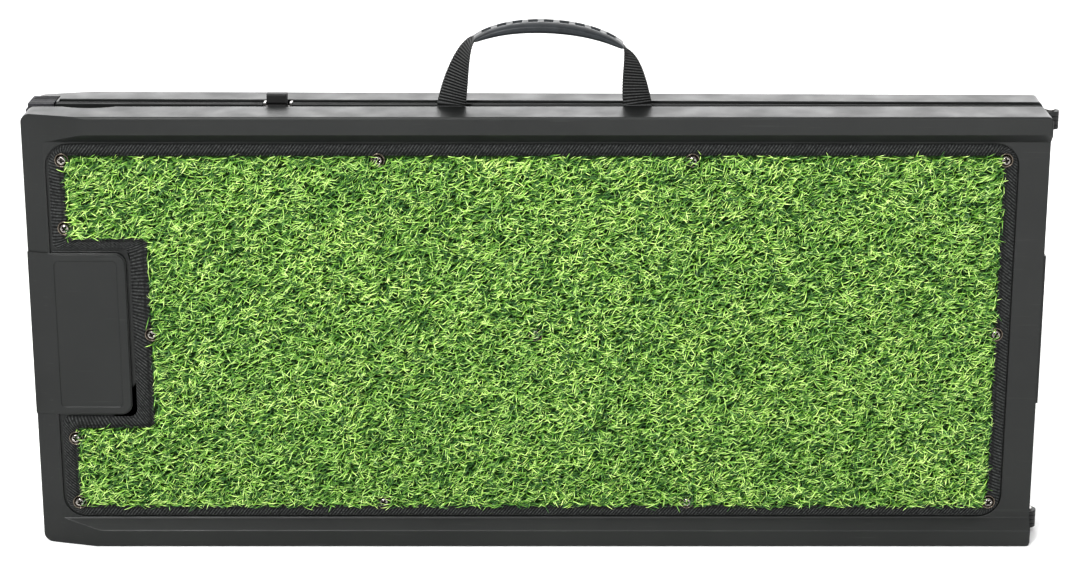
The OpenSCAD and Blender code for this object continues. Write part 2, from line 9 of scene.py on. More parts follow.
import bmesh
import bpy
import numpy as np
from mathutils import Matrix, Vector

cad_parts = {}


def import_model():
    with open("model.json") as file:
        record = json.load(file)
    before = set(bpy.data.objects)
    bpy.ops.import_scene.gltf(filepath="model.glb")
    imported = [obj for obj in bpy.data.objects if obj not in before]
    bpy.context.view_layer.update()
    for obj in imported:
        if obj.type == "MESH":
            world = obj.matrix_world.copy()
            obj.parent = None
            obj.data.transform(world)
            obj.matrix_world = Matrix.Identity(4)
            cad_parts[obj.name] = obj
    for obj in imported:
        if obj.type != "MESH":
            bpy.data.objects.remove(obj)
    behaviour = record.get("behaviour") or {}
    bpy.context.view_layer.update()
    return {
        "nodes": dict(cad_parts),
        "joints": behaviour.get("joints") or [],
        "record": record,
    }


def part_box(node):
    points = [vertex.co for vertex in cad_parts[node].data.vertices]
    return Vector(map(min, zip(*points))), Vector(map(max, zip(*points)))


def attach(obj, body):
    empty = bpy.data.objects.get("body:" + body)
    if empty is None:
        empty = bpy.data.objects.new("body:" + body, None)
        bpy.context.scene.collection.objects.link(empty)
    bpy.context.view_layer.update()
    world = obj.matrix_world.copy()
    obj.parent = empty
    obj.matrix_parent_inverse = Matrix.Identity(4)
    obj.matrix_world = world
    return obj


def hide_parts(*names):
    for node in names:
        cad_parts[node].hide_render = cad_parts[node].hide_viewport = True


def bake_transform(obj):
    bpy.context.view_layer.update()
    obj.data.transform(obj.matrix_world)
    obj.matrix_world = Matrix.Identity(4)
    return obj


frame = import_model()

rng = np.random.default_rng(11)
scene = bpy.context.scene

MM = 0.001
HALF_LENGTH = 910
HALF_WIDTH = 406
FREE_END = -HALF_LENGTH / 2
HINGE_END = HALF_LENGTH / 2
MID_Z = HALF_WIDTH / 2
AXIS_Y = 44.6

# ---- Camera ----

camera = bpy.data.objects.new("camera", bpy.data.cameras.new("camera"))
scene.collection.objects.link(camera)
camera.location = (-0.00215, -2.3223, 0.9517)
camera.rotation_euler = (math.radians(72.82), 0, 0)
camera.data.lens = 88.67
camera.data.sensor_width = 36
camera.data.clip_start = 0.05
camera.data.clip_end = 60
scene.camera = camera

# ---- Placing ----

frame_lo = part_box("front_frame")[0]
fold = next(j for j in frame["joints"] if j["name"] == "fold")
fold_x, fold_y = fold["pos_m"][0], fold["pos_m"][1]
splay = math.pi - math.radians(fold["range_deg"][1])


def on_front(p):
    """Local points of the front half in the row frame, in metres."""
    p = np.asarray(p, float)
    return np.stack([
        frame_lo.x + (p[:, 0] - FREE_END) * MM, frame_lo.y + p[:, 1] * MM, p[:, 2] * MM,
    ], axis=1)


def on_rear(p):
    """The same for the rear half: mirrored in the parting plane, then swung by the splay."""
    q = on_front(p)
    x, y = q[:, 0] - fold_x, -(q[:, 1] - fold_y)
    c, s = math.cos(splay), math.sin(splay)
    return np.stack([fold_x + c * x + s * y, fold_y - s * x + c * y, q[:, 2]], axis=1)


# ---- Meshes ----


def mesh_object(name, points, polys, material):
    """A smooth object from metre points and an (n, k) array of polygons."""
    polys = np.asarray(polys, np.int32)
    mesh = bpy.data.meshes.new(name)
    mesh.vertices.add(len(points))
    mesh.vertices.foreach_set("co", np.asarray(points, np.float32).ravel())
    mesh.loops.add(polys.size)
    mesh.loops.foreach_set("vertex_index", polys.ravel())
    mesh.polygons.add(len(polys))
    starts = np.arange(len(polys), dtype=np.int32) * polys.shape[1]
    mesh.polygons.foreach_set("loop_start", starts)
    mesh.update(calc_edges=True)
    mesh.validate()
    mesh.materials.append(material)
    mesh.shade_smooth()
    obj = bpy.data.objects.new(name, mesh)
    scene.collection.objects.link(obj)
    return obj


def grid_polys(rings, sides, closed_path):
    """Quads of a tube of rings; the sides always close."""
    last = rings if closed_path else rings - 1
    k, i = np.meshgrid(np.arange(last), np.arange(sides), indexing="ij")
    near, far = k * sides, (k + 1) % rings * sides
    i2 = (i + 1) % sides
    return np.stack([near + i, near + i2, far + i2, far + i], -1).reshape(-1, 4)


def capped_tube(name, rings, material):
    """A tube on the front half through an (n, m, 3) array of rings, its ends capped."""
    n, m = rings.shape[:2]
    points = np.concatenate([rings.reshape(-1, 3), rings[:1].mean(1), rings[-1:].mean(1)])
    obj = mesh_object(name, on_front(points), grid_polys(n, m, False), material)
    i = np.arange(m)
    j, last = (i + 1) % m, (n - 1) * m
    start_cap = np.stack([np.full(m, n * m), j, i], -1)
    end_cap = np.stack([np.full(m, n * m + 1), last + i, last + j], -1)
    add_triangles(obj, np.concatenate([start_cap, end_cap]))
    return obj


def mark(obj, name, values):
    """Stores a number per vertex for a material; a cap's centre vertices take 0."""
    flat = np.zeros(len(obj.data.vertices), np.float32)
    flat[:values.size] = np.clip(values, 0, 1).ravel()
    obj.data.attributes.new(name, "FLOAT", "POINT").data.foreach_set("value", flat)


def add_triangles(obj, triangles):
    """Adds triangles over vertices that the mesh already has."""
    bm = bmesh.new()
    bm.from_mesh(obj.data)
    bm.verts.ensure_lookup_table()
    for t in triangles.tolist():
        bm.faces.new([bm.verts[v] for v in t]).smooth = True
    bm.to_mesh(obj.data)
    bm.free()


# ---- Outlines ----


def fillet(a, b, c, r, steps):
    """Points of the arc of radius r that rounds the corner b between a and c."""
    u, v = (a - b) / np.linalg.norm(a - b), (c - b) / np.linalg.norm(c - b)
    half = math.acos(float(np.clip(u @ v, -1, 1))) / 2
    centre = b + (u + v) / np.linalg.norm(u + v) * r / math.sin(half)
    p0, p1 = b + u * r / math.tan(half) - centre, b + v * r / math.tan(half) - centre
    start = math.atan2(p0[1], p0[0])
    turn = math.pi - 2 * half
    if p0[0] * p1[1] - p0[1] * p1[0] < 0:
        turn = -turn
    t = start + turn * np.linspace(0, 1, steps + 1)
    return centre + r * np.stack([np.cos(t), np.sin(t)], -1)


def outline(corners, arc_steps, edge_steps):
    """Closed outline through corners (x, z, radius), with the same points for any corners."""
    pts = np.array([c[:2] for c in corners], float)
    n = len(pts)
    arcs = [
        fillet(pts[i - 1], pts[i], pts[(i + 1) % n], corners[i][2], arc_steps[i])
        for i in range(n)
    ]
    out = []
    for i in range(n):
        t = np.linspace(0, 1, edge_steps[i] + 1)[1:-1, None]
        out += [arcs[i], arcs[i][-1] * (1 - t) + arcs[(i + 1) % n][0] * t]
    return np.concatenate(out)


def notched(left, right, half, notch_x, notch_half, r, notch_r):
    """Corners of a rounded rectangle with a notch for the raised plate."""
    return [
        (left, -half, r), (right, -half, r), (right, half, r), (left, half, r),
        (left, notch_half, notch_r), (notch_x, notch_half, notch_r),
        (notch_x, -notch_half, notch_r), (left, -notch_half, notch_r),
    ]


TURF = dict(left=FREE_END + 36, right=HINGE_END - 39, half=MID_Z - 36,
            notch_x=FREE_END + 107, notch_half=89, r=5, notch_r=4)
MAT = dict(left=FREE_END + 23.5, right=HINGE_END - 28, half=MID_Z - 27,
           notch_x=FREE_END + 92, notch_half=79, r=19, notch_r=7)
MAT_BACK = 12.4
SCREWS = (
    [(x, s * 162) for x in (FREE_END + 36, -139.5, 139, HINGE_END - 39) for s in (-1, 1)]
    + [(FREE_END + 35.5, s * 99.5) for s in (-1, 1)]
    + [(x, 0) for x in (FREE_END + 109, 0, HINGE_END - 40)]
)

# ---- Materials ----


class Finish:
    """A material under construction: its nodes, links and shader."""

    def __init__(self, name, rough, metallic=0.0, specular=0.5):
        self.mat = bpy.data.materials.new(name)
        self.mat.use_nodes = True
        self.nodes = self.mat.node_tree.nodes
        self.links = self.mat.node_tree.links
        self.shader = self.nodes["Principled BSDF"]
        self.shader.inputs["Roughness"].default_value = rough
        self.shader.inputs["Metallic"].default_value = metallic
        self.shader.inputs["Specular IOR Level"].default_value = specular
        self.coords = self.nodes.new("ShaderNodeTexCoord").outputs["Object"]
        self.normal = None

    def stretched(self, scale):
        """Object coordinates scaled by axis."""
        mapping = self.nodes.new("ShaderNodeMapping")
        mapping.inputs["Scale"].default_value = scale
        self.links.new(self.coords, mapping.inputs["Vector"])
        return mapping.outputs["Vector"]

    def noise(self, scale, detail=3.0, stretch=None, roughness=0.5):
        node = self.nodes.new("ShaderNodeTexNoise")
        node.inputs["Scale"].default_value = scale
        node.inputs["Detail"].default_value = detail
        node.inputs["Roughness"].default_value = roughness
        self.links.new(self.stretched(stretch) if stretch else self.coords, node.inputs["Vector"])
        return node.outputs["Fac"]

    def ramp(self, value, stops):
        """A colour for a number, from (position, colour) stops."""
        node = self.nodes.new("ShaderNodeValToRGB")
        elements = node.color_ramp.elements
        while len(elements) < len(stops):
            elements.new(0.5)
        for element, (at, colour) in zip(elements, stops):
            element.position = at
            element.color = (*colour, 1)
        self.links.new(value, node.inputs["Fac"])
        return node.outputs["Color"]

    def mix(self, fac, a, b, kind="MIX"):
        """Blends two colours; each input is a socket or a value."""
        node = self.nodes.new("ShaderNodeMix")
        node.data_type = "RGBA"
        node.blend_type = kind
        for socket, value in (("Factor", fac), ("A", a), ("B", b)):
            target = next(i for i in node.inputs if i.name == socket and i.enabled)
            if hasattr(value, "is_linked"):
                self.links.new(value, target)
            else:
                target.default_value = value
        return next(o for o in node.outputs if o.enabled)

    def attribute(self, name):
        """A number stored on the mesh by mark()."""
        node = self.nodes.new("ShaderNodeAttribute")
        node.attribute_name = name
        return node.outputs["Fac"]

    def colour(self, socket):
        self.links.new(socket, self.shader.inputs["Base Color"])

    def range(self, value, lo, hi, source=(0.3, 0.7)):
        """Maps source's span to lo and hi."""
        node = self.nodes.new("ShaderNodeMapRange")
        for name, v in zip(("From Min", "From Max", "To Min", "To Max"), (*source, lo, hi)):
            node.inputs[name].default_value = v
        self.links.new(value, node.inputs["Value"])
        return node.outputs["Result"]

    def roughness(self, value, lo, hi):
        """Varies the roughness from lo to hi."""
        self.links.new(self.range(value, lo, hi), self.shader.inputs["Roughness"])

    def round_edges(self, radius):
        """Shades sharp edges as if they had this radius."""
        node = self.nodes.new("ShaderNodeBevel")
        node.samples = 6
        node.inputs["Radius"].default_value = radius
        self.normal = node.outputs["Normal"]

    def bump(self, value, strength, distance):
        """Adds a bump on top of those before it; distance is in metres."""
        node = self.nodes.new("ShaderNodeBump")
        node.inputs["Strength"].default_value = strength
        node.inputs["Distance"].default_value = distance
        self.links.new(value, node.inputs["Height"])
        if self.normal is not None:
            self.links.new(self.normal, node.inputs["Normal"])
        self.normal = node.outputs["Normal"]
        self.links.new(self.normal, self.shader.inputs["Normal"])


EDGE_RADIUS = 0.0014
SCUFF_GAIN = 1.9


def moulded(name, dark, light, rough=0.42, grain=0.25):
    """Moulded plastic: fine grain, faint clouds of tone, light scuffs along x."""
    f = Finish(name, rough, specular=0.36)
    clouds = f.noise(7, 4)
    scuffs = f.range(f.noise(1, 2, (16, 420, 420)), 0, 1, (0.66, 0.8))
    base = f.ramp(clouds, [(0.35, dark), (0.65, light)])
    f.colour(f.mix(scuffs, base, (*(c * SCUFF_GAIN for c in light), 1)))
    f.roughness(f.noise(34, 4), rough - 0.05, rough + 0.07)
    f.round_edges(EDGE_RADIUS)
    f.bump(f.noise(1500, 2), grain, 0.00012)
    f.bump(f.noise(60, 3), 0.12, 0.0004)
    return f.mat


def metal(name, dark, light, rough):
    """Plated steel, with painted shade where the "recess" attribute is 1."""
    f = Finish(name, rough, metallic=1.0)
    # Painted shade: the recess attribute darkens the plating down to 0.06 of its colour.
    shade = f.ramp(f.attribute("recess"), [(0.1, (1.0, 1.0, 1.0)), (0.8, (0.06, 0.06, 0.06))])
    plating = f.ramp(f.noise(1900, 3), [(0.35, dark), (0.65, light)])
    f.colour(f.mix(1.0, plating, shade, "MULTIPLY"))
    f.roughness(f.noise(900, 3), rough - 0.06, rough + 0.1)
    f.bump(f.noise(4200, 2), 0.15, 0.00004)
    return f.mat


def rubber(name, dark, light, rough):
    """Satin rubber: faint clouds of tone and a fine grain."""
    f = Finish(name, rough, specular=0.3)
    f.colour(f.ramp(f.noise(90, 4), [(0.35, dark), (0.65, light)]))
    f.roughness(f.noise(180, 3), rough - 0.06, rough + 0.08)
    f.bump(f.noise(1100, 3), 0.35, 0.00012)
    return f.mat


WAVE_NODE_FACTOR = 20  # the Wave node multiplies its coordinate by this


def ribbed(name, dark, light, rough, pitch):
    """Ribbed rubber: bands across y, with painted highlights on their crests, painted shade
    between them, and a dusty mottle all over.
    """
    f = Finish(name, rough, specular=0.16)
    wave = f.nodes.new("ShaderNodeTexWave")
    wave.bands_direction = "Y"
    wave.inputs["Scale"].default_value = 2 * math.pi / (WAVE_NODE_FACTOR * pitch)
    wave.inputs["Distortion"].default_value = 0.3
    f.links.new(f.coords, wave.inputs["Vector"])
    bands = wave.outputs["Fac"]
    dust = f.ramp(f.noise(420, 4), [(0.35, (0.55, 0.55, 0.55)), (0.7, (1.0, 1.0, 1.0))])
    # Painted highlight on the crests of the bands and painted shade in their hollows.
    painted_rib_light = f.ramp(bands, [(0.35, dark), (0.85, light)])
    f.colour(f.mix(1.0, painted_rib_light, dust, "MULTIPLY"))
    f.roughness(f.noise(180, 3), rough - 0.06, rough + 0.08)
    f.bump(bands, 0.9, 0.0008)
    f.bump(f.noise(700, 3), 0.35, 0.00012)
    return f.mat


def woven(name, dark, light, rough, thread, sheen, painted_groove_shade):
    """Woven tape: fine threads on the modelled ribs, with painted shade in the grooves between
    them.
    """
    f = Finish(name, rough, specular=0.2)
    f.shader.inputs["Sheen Weight"].default_value = sheen
    f.shader.inputs["Sheen Roughness"].default_value = 0.4
    fibres = f.noise(thread, 4, roughness=0.65)
    # Painted shade: the rib attribute darkens the grooves between the modelled ribs.
    ribs = f.ramp(f.attribute("rib"), [(0.3, (painted_groove_shade,) * 3), (0.92, (1.0, 1.0, 1.0))])
    base = f.ramp(fibres, [(0.32, dark), (0.7, light)])
    f.colour(f.mix(1.0, base, ribs, "MULTIPLY"))
    f.bump(fibres, 0.5, 0.00025)
    return f.mat


def grass(name, root, body, tip, rough=0.5):
    """Blade of artificial grass, with painted shade at its root and a painted highlight at its
    tip, and a tone that varies by blade.
    """
    f = Finish(name, rough, specular=0.4)
    # Painted shade at the root and a painted highlight at the tip, from the shade attribute.
    along = f.ramp(f.attribute("shade"), [(0.0, root), (0.42, body), (0.95, tip)])
    patches = f.ramp(f.noise(26, 4), [(0.38, (0.78, 0.84, 0.74)), (0.62, (1.08, 1.04, 1.0))])
    f.colour(f.mix(1.0, along, patches, "MULTIPLY"))
    f.roughness(f.noise(300, 2), rough - 0.1, rough + 0.12)
    return f.mat


def backing():
    """The grass's backing: coarse dark green weave."""
    f = Finish("turf_backing", 0.85, specular=0.2)
    stops = [(0.35, (0.004, 0.012, 0.002)), (0.7, (0.018, 0.05, 0.008))]
    f.colour(f.ramp(f.noise(500, 4), stops))
    f.bump(f.noise(900, 3), 0.6, 0.0004)
    return f.mat


SLOT_MATERIALS = {
    "frame_plastic": moulded(
        "frame_plastic", (0.0075, 0.0084, 0.0080), (0.0108, 0.0119, 0.0113)),
    "hinge_plastic": moulded(
        "hinge_plastic", (0.008, 0.0085, 0.0085), (0.012, 0.0125, 0.0125), 0.5),
    "latch_plastic": moulded(
        "latch_plastic", (0.007, 0.007, 0.007), (0.011, 0.011, 0.011), 0.55, 0.5),
    "turf": backing(),
    "binding_tape": woven(
        "binding_tape", (0.008, 0.009, 0.009), (0.070, 0.073, 0.072), 0.8,
        thread=520, sheen=0.1, painted_groove_shade=0.22),
    "webbing": woven(
        "webbing", (0.022, 0.023, 0.023), (0.105, 0.107, 0.106), 0.85,
        thread=1500, sheen=0.06, painted_groove_shade=0.05),
    "grip_rubber": rubber(
        "grip_rubber", (0.010, 0.012, 0.014), (0.017, 0.020, 0.023), 0.42),
    "foot_rubber": ribbed(
        "foot_rubber", (0.0015, 0.0015, 0.0018), (0.075, 0.075, 0.082), 0.62, pitch=0.0058),
    "dark_steel": metal("dark_steel", (0.20, 0.185, 0.17), (0.36, 0.34, 0.32), 0.2),
    "pin_steel": metal("pin_steel", (0.32, 0.31, 0.3), (0.5, 0.49, 0.48), 0.3),
}
WASHER_STEEL = metal("washer_steel", (0.13, 0.11, 0.09), (0.24, 0.205, 0.17), 0.26)
# Each tone's root colour is painted shade and its tip colour a painted highlight.
GRASS = {
    "light": grass(
        "grass_light", (0.008, 0.04, 0.002), (0.29, 0.54, 0.085), (0.66, 0.88, 0.32), 0.4),
    "mid": grass(
        "grass_mid", (0.004, 0.03, 0.001), (0.085, 0.23, 0.026), (0.24, 0.46, 0.095), 0.42),
    "dark": grass(
        "grass_dark", (0.002, 0.015, 0.001), (0.016, 0.066, 0.011), (0.050, 0.155, 0.034)),
}
GRASS_SHARE = (("light", 0.34), ("mid", 0.28), ("dark", 0.38))

for entry in frame["record"]["subparts"]:
    node = frame["nodes"][entry["node"]]
    node.data.materials.clear()
    node.data.materials.append(SLOT_MATERIALS[entry["material_slot"]])

# ---- Turf ----

TUFT_PITCH = (3.8, 3.4)
TUFT_JITTER = 0.9
BLADES_PER_TUFT = 4
BLADE_JITTER = 0.75
BLADE_LENGTH = (11.6, 2.3)  # mean and spread
SHORTEST, LONGEST = 6, 17
BLADE_WIDTH = (0.7, 1.1)
# Angles in radians: the way a blade leans from x, with its spread by tuft and by blade,
# and how far it leans from upright at its root and at its tip
LEAN = 0.42
LEAN_SPREAD = (0.30, 0.62)
FORWARD_SHARE = 0.62
ROOT_BEND = (0.15, 0.75)
TIP_BEND = (1.15, 1.75)
TWIST_SPREAD = 0.45
ROOT_SINK = 0.6
PILE_HEIGHT = 9.9
# Along a blade: its joints, half widths, and the painted light of its 7 vertices, from painted
# shade at the root (0) to a painted highlight at the tip (1)
BLADE_STOPS = np.array([0.0, 0.42, 0.76, 1.0])
BLADE_TAPER = np.array([0.8, 1.0, 0.72]) / 2
BLADE_SHADE = np.array([0.0, 0.0, 0.45, 0.45, 0.8, 0.8, 1.0])
BLADE_FACES = np.array([(0, 1, 3), (0, 3, 2), (2, 3, 5), (2, 5, 4), (4, 5, 6)])
TONE_SPREAD, TONE_LIMIT = 0.13, 0.3
STRAY_SHARE = 0.06
STRAY_REACH, USUAL_REACH = 5.0, 0.8
WASHER_CLEARANCE = 6.4
MIDDLE_CLEARANCE = 5.8


def inside(x, z, grow=0.0):
    """Which points lie in the turf's outline, made larger by grow."""
    along = (x > TURF["left"] - grow) & (x < TURF["right"] + grow)
    notch = (x < TURF["notch_x"] - grow) & (abs(z) < TURF["notch_half"] - grow)
    return along & (abs(z) < TURF["half"] + grow) & ~notch


def tuft_roots():
    """Blade roots (n, 2) in jittered rows of tufts, none under a washer, and their leans."""
    xs = np.arange(TURF["left"] + 1, TURF["right"], TUFT_PITCH[0])
    zs = np.arange(-TURF["half"] + 1, TURF["half"], TUFT_PITCH[1])
    gx, gz = np.meshgrid(xs, zs, indexing="ij")
    tufts = np.stack([gx.ravel(), gz.ravel()], -1)
    tufts += rng.normal(0, TUFT_JITTER, tufts.shape)
    lean = rng.normal(0, 1, len(tufts))
    roots = np.repeat(tufts, BLADES_PER_TUFT, 0)
    roots += rng.normal(0, BLADE_JITTER, roots.shape)
    lean = np.repeat(lean, BLADES_PER_TUFT)
    keep = inside(roots[:, 0], roots[:, 1], -0.4)
    for x, z in SCREWS:
        clearance = WASHER_CLEARANCE if (x, z) != (0, 0) else MIDDLE_CLEARANCE
        keep &= np.hypot(roots[:, 0] - x, roots[:, 1] - z) > clearance
    return roots[keep], lean[keep]


def blades():
    """Blade vertices (n, 7, 3) in local millimetres, and each vertex's painted shade and
    highlight.
    """
    roots, lean = tuft_roots()
    n = len(roots)
    flow = np.where(rng.random(n) < FORWARD_SHARE, 0.0, math.pi)
    azimuth = flow + LEAN + LEAN_SPREAD[0] * lean + rng.normal(0, LEAN_SPREAD[1], n)
    length = np.clip(rng.normal(*BLADE_LENGTH, n), SHORTEST, LONGEST)
    width = rng.uniform(*BLADE_WIDTH, n)
    bend0 = rng.uniform(*ROOT_BEND, n)
    bend1 = rng.uniform(*TIP_BEND, n)
    out, side = [np.zeros(n)], [np.zeros(n)]
    for a, b in zip(BLADE_STOPS[:-1], BLADE_STOPS[1:]):
        phi = bend0 + (bend1 - bend0) * (a + b) / 2
        out.append(out[-1] + length * (b - a) * np.cos(phi))
        side.append(side[-1] + length * (b - a) * np.sin(phi))
    out, side = np.stack(out, 1), np.stack(side, 1)
    out *= np.minimum(1, PILE_HEIGHT / np.maximum(out.max(1), 1e-6))[:, None]
    direction = np.stack([np.cos(azimuth), np.sin(azimuth)], -1)
    # Blades that would lie far over the binding lean the other way, but for a few strays
    grow = np.where(rng.random(n) < STRAY_SHARE, STRAY_REACH, USUAL_REACH)
    for shorten in (1.0, 0.4):
        tip = roots + side[:, -1:] * direction
        over = ~inside(tip[:, 0], tip[:, 1], grow)
        direction[over] *= -1
        side[over] *= shorten
    across = np.stack([-direction[:, 1], direction[:, 0]], -1)
    twist = rng.normal(0, TWIST_SPREAD, n)
    centre = np.empty((n, 4, 3))
    centre[..., 0] = roots[:, None, 0] + side * direction[:, None, 0]
    centre[..., 1] = MAT_BACK - ROOT_SINK - out
    centre[..., 2] = roots[:, None, 1] + side * direction[:, None, 1]
    half = np.stack([
        across[:, 0] * np.cos(twist), np.sin(twist), across[:, 1] * np.cos(twist),
    ], -1) * width[:, None]
    verts = np.empty((n, 7, 3))
    for k in range(3):
        verts[:, 2 * k] = centre[:, k] - half * BLADE_TAPER[k]
        verts[:, 2 * k + 1] = centre[:, k] + half * BLADE_TAPER[k]
    verts[:, 6] = centre[:, 3]
    verts[..., 2] += MID_Z
    tone = np.clip(rng.normal(0, TONE_SPREAD, n), -TONE_LIMIT, TONE_LIMIT)
    shade = np.clip(BLADE_SHADE[None, :] + tone[:, None] * BLADE_SHADE[None, :], 0, 1)
    return verts, shade


def turf(prefix, body, place):
    """A half's grass: three tones of blade on a woven backing sheet."""
    verts, shade = blades()
    chosen = rng.random(len(verts))
    tones, edge = [], 0.0
    for tone, share in GRASS_SHARE:
        pick = (chosen >= edge) & (chosen < edge + share)
        edge += share
        v = verts[pick]
        polys = (np.arange(len(v))[:, None, None] * 7 + BLADE_FACES).reshape(-1, 3)
        obj = mesh_object(f"{prefix}_turf_{tone}", place(v.reshape(-1, 3)), polys, GRASS[tone])
        mark(obj, "shade", shade[pick])
        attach(obj, body)
        tones.append(obj)
    loop = outline(notched(**TURF), (6,) * 8, (90, 36, 90, 8, 8, 20, 8, 8))
    profile = ((0.4, MAT_BACK), (0.4, MAT_BACK - 1.0), (0.0, MAT_BACK - 1.2))
    sheet = slab(f"{prefix}_turf_backing", loop, profile, SLOT_MATERIALS["turf"], place)
    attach(sheet, body)
    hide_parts(f"{prefix}_turf_mat")


SLAB_REACH = 400  # about half the sheet's length, for turning an inset into a scale


def slab(name, loop, profile, material, place):
    """A flat plate over an outline, from its back to its face, closed all round."""
    n = len(loop)
    centre = loop.mean(0)
    rings = []
    for inset, y in profile:
        shrunk = centre + (loop - centre) * (1 - inset / SLAB_REACH)
        rings.append(np.stack([shrunk[:, 0], np.full(n, y), shrunk[:, 1] + MID_Z], -1))
    bm = bmesh.new()
    points = [[bm.verts.new(p) for p in place(r)] for r in rings]
    for a, b in zip(points[:-1], points[1:]):
        for i in range(n):
            j = (i + 1) % n
            bm.faces.new((a[i], a[j], b[j], b[i]))
    for ring in (points[0][::-1], points[-1]):
        bmesh.ops.triangulate(bm, faces=[bm.faces.new(ring)])
    bmesh.ops.recalc_face_normals(bm, faces=bm.faces)
    mesh = bpy.data.meshes.new(name)
    bm.to_mesh(mesh)
    bm.free()
    mesh.materials.append(material)
    obj = bpy.data.objects.new(name, mesh)
    scene.collection.objects.link(obj)
    return obj


# ---- Binding ----

TWILL_PITCH = 3.0
TWILL_STEPS = 6
TWILL_SLANT = 8.0
TWILL_DEPTH = 0.6
TAPE_LAP = 1.6
STITCH_AT, STITCH_WIDTH, STITCH_DEPTH = 0.74, 0.05, 0.3
# Across the tape, from its outer edge to its inner one
TAPE_ACROSS = np.array([0.0, 0.0, 0.05, 0.14, 0.25, 0.37, 0.5, 0.62, 0.74, 0.86, 0.96, 1.0])
TAPE_Y = np.array(
    [MAT_BACK, 11.2, 10.2, 9.62, 9.35, 9.25, 9.25, 9.3, 9.45, 9.75, 10.4, MAT_BACK])
TAPE_RIBBING = np.array([0, 0.5, 0.9, 1, 1, 1, 1, 1, 1, 0.9, 0.4, 0])


def binding(prefix, body, place, flip):
    """Twill tape folded over the mat's edge: a crowned tube whose rings follow its ribs."""
    step = TWILL_PITCH / TWILL_STEPS
    corners = notched(**MAT)
    count = len(corners)
    arcs = [max(8, round(c[2] * math.pi / 2 / step)) for c in corners]
    edges = []
    for i in range(count):
        a, b = corners[i], corners[(i + 1) % count]
        straight = math.hypot(a[0] - b[0], a[1] - b[1]) - a[2] - b[2]
        edges.append(max(2, round(straight / step)))
    edges[0] += -(sum(edges) + sum(arcs)) % TWILL_STEPS
    outer = outline(corners, arcs, edges)
    inner = outline(notched(
        TURF["left"] + TAPE_LAP, TURF["right"] - TAPE_LAP, TURF["half"] - TAPE_LAP,
        TURF["notch_x"] + TAPE_LAP, TURF["notch_half"] + TAPE_LAP, TURF["r"], TURF["notch_r"],
    ), arcs, edges)
    index = np.arange(len(outer))
    slanted = index[:, None] + TAPE_ACROSS[None, :] * TWILL_SLANT / step
    xz = np.empty((*slanted.shape, 2))
    for k in (0, 1):
        a = np.interp(slanted, index, outer[:, k], period=len(outer))
        b = np.interp(slanted, index, inner[:, k], period=len(outer))
        xz[..., k] = a * (1 - TAPE_ACROSS) + b * TAPE_ACROSS
    wave = np.cos(2 * math.pi * index / TWILL_STEPS)
    crest = 0.5 + 0.5 * wave[:, None] * np.ones_like(TAPE_ACROSS)
    rib = TWILL_DEPTH * (1 - crest) * TAPE_RIBBING
    stitch = np.exp(-((TAPE_ACROSS - STITCH_AT) / STITCH_WIDTH) ** 2)
    y = TAPE_Y + rib + STITCH_DEPTH * stitch
    rings = np.stack([xz[..., 0], y, xz[..., 1] + MID_Z], -1)
    polys = grid_polys(*rings.shape[:2], True)
    obj = mesh_object(
        f"{prefix}_binding_tape", place(rings.reshape(-1, 3)), polys[:, ::-1] if flip else polys,
        SLOT_MATERIALS["binding_tape"])
    # The rib marks paint shade in the twill's grooves and along the sunk stitch line.
    mark(obj, "rib", crest - 0.5 * stitch)
    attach(obj, body)
    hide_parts(f"{prefix}_binding")


# ---- Deck fasteners ----

TAPE_TOP = 9.2
STUD_SIDES = 48
# Turned sections, each a loop of (radius, height over the tape)
WASHER_SECTION = np.array([
    (2.3, 0.0), (2.3, 0.4), (4.7, 0.4), (5.1, 0.6), (5.45, 1.1), (5.8, 1.35), (6.15, 1.25),
    (6.35, 0.8), (6.4, 0.0),
])
# Painted shade at each point of the washer's section: darkest on its inner flat, none on the
# crest of its rim, some on its outer side.
WASHER_PAINTED_SHADE = np.array([0.8, 0.8, 0.75, 0.62, 0.4, 0.05, 0.0, 0.15, 0.4])
HEAD_SECTION = np.array([
    (0.02, 3.2), (0.4, 3.2), (0.75, 3.19), (1.1, 3.16), (1.45, 3.12), (1.8, 3.07), (2.15, 3.0),
    (2.5, 2.9), (2.85, 2.76), (3.2, 2.58), (3.6, 2.28), (3.95, 1.86), (4.2, 1.3), (4.3, 0.6),
    (4.2, 0.42), (0.02, 0.42),
])
RECESS_TOP = 12  # points of the head's section that the recess can reach
RECESS_DEPTH = 1.9
RECESS_HALF_WIDTH, RECESS_REACH = 0.85, 2.75


def smooth_step(x):
    x = np.clip(x, 0, 1)
    return x * x * (3 - 2 * x)


def cross_recess(x, z):
    """How much of a cross-shaped recess there is at a point of a screw head, 0 to 1; it sets both
    the recess's depth and its painted shade.
    """

    def arm(a, b):
        across = smooth_step((RECESS_HALF_WIDTH - abs(a)) / 0.25)
        return across * smooth_step((RECESS_REACH - abs(b)) / 0.35)

    return np.maximum(arm(x, z), arm(z, x))


